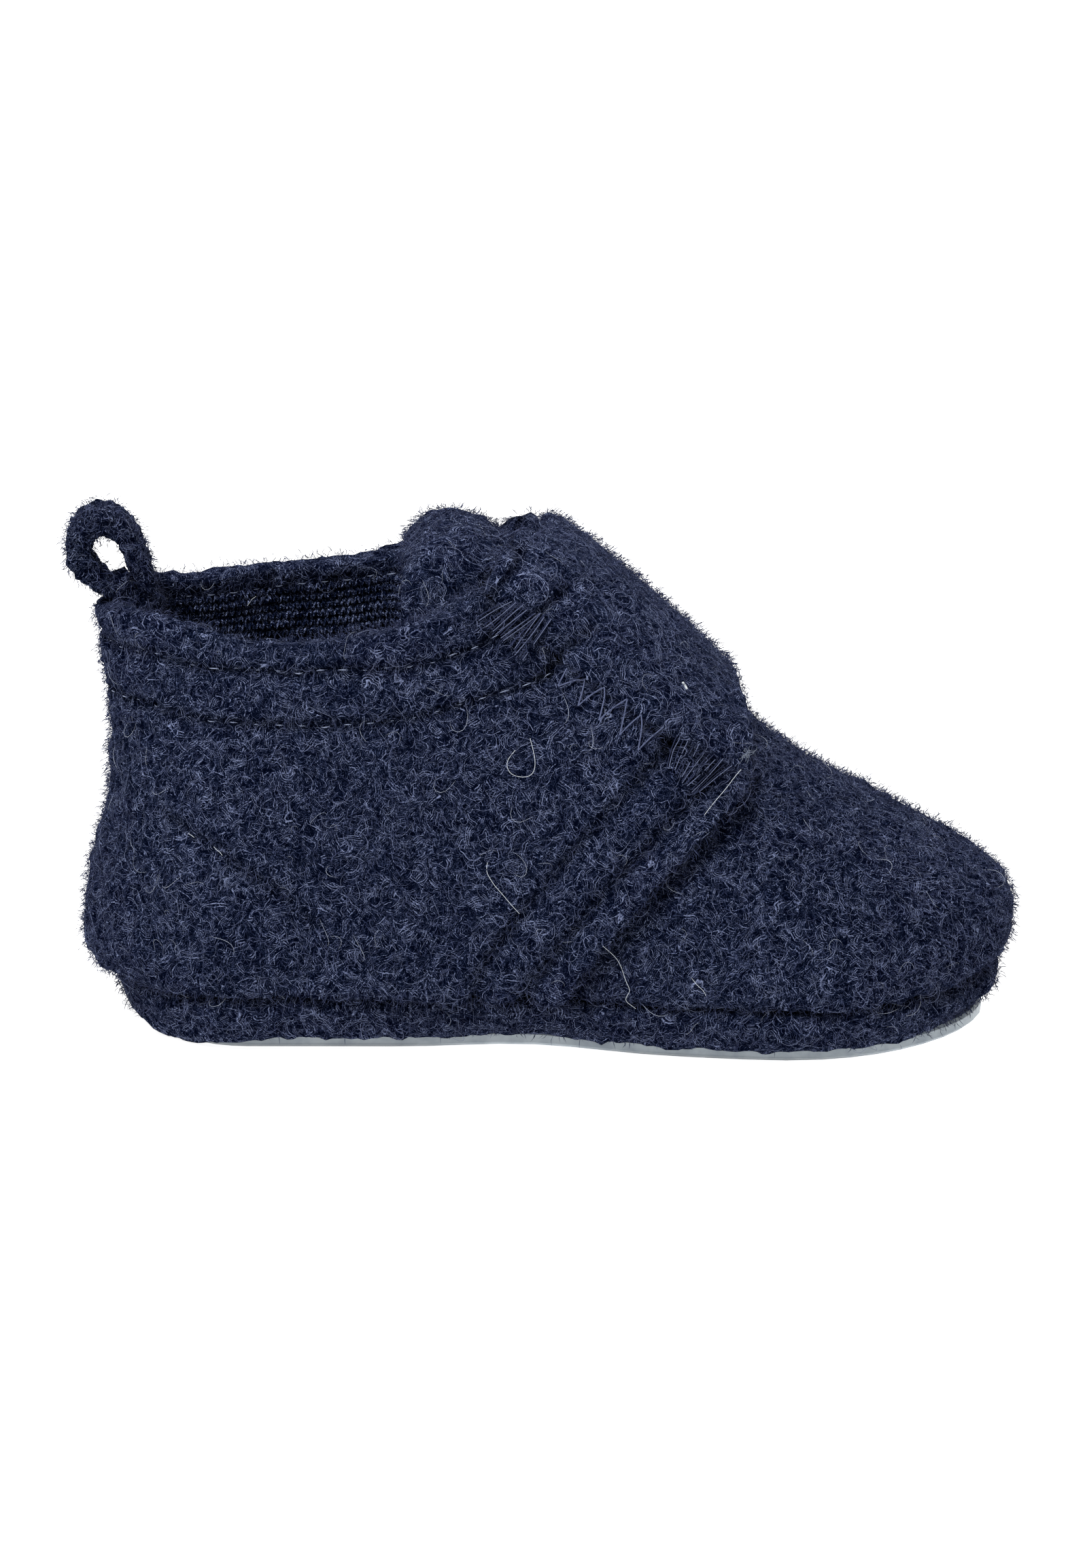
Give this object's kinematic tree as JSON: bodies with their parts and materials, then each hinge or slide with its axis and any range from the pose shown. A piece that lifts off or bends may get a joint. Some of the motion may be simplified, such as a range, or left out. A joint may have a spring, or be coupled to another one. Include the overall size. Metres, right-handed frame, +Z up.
{
  "type": "felt baby bootie",
  "caption": "Navy boiled-wool baby bootie, left foot: hollow felt upper with wide instep strap, tongue and heel pull loop on a felt cup sole with a thin grey rubber outsole.",
  "frame": {"origin": "on the floor under the middle of the bootie's footprint", "axes": "+X towards the toe, +Y towards the outer (lateral) side of the left foot, +Z up"},
  "size_m": [0.127, 0.0614, 0.0706],
  "materials": {
    "felt": "fuzzy boiled wool, matte",
    "rubber": "thin satin rubber coat"
  },
  "bodies": {
    "root": {"outsole": "rubber", "felt_sole": "felt", "upper": "felt", "tongue": "felt", "strap": "felt", "pull_loop": "felt"}
  },
  "joints": []
}
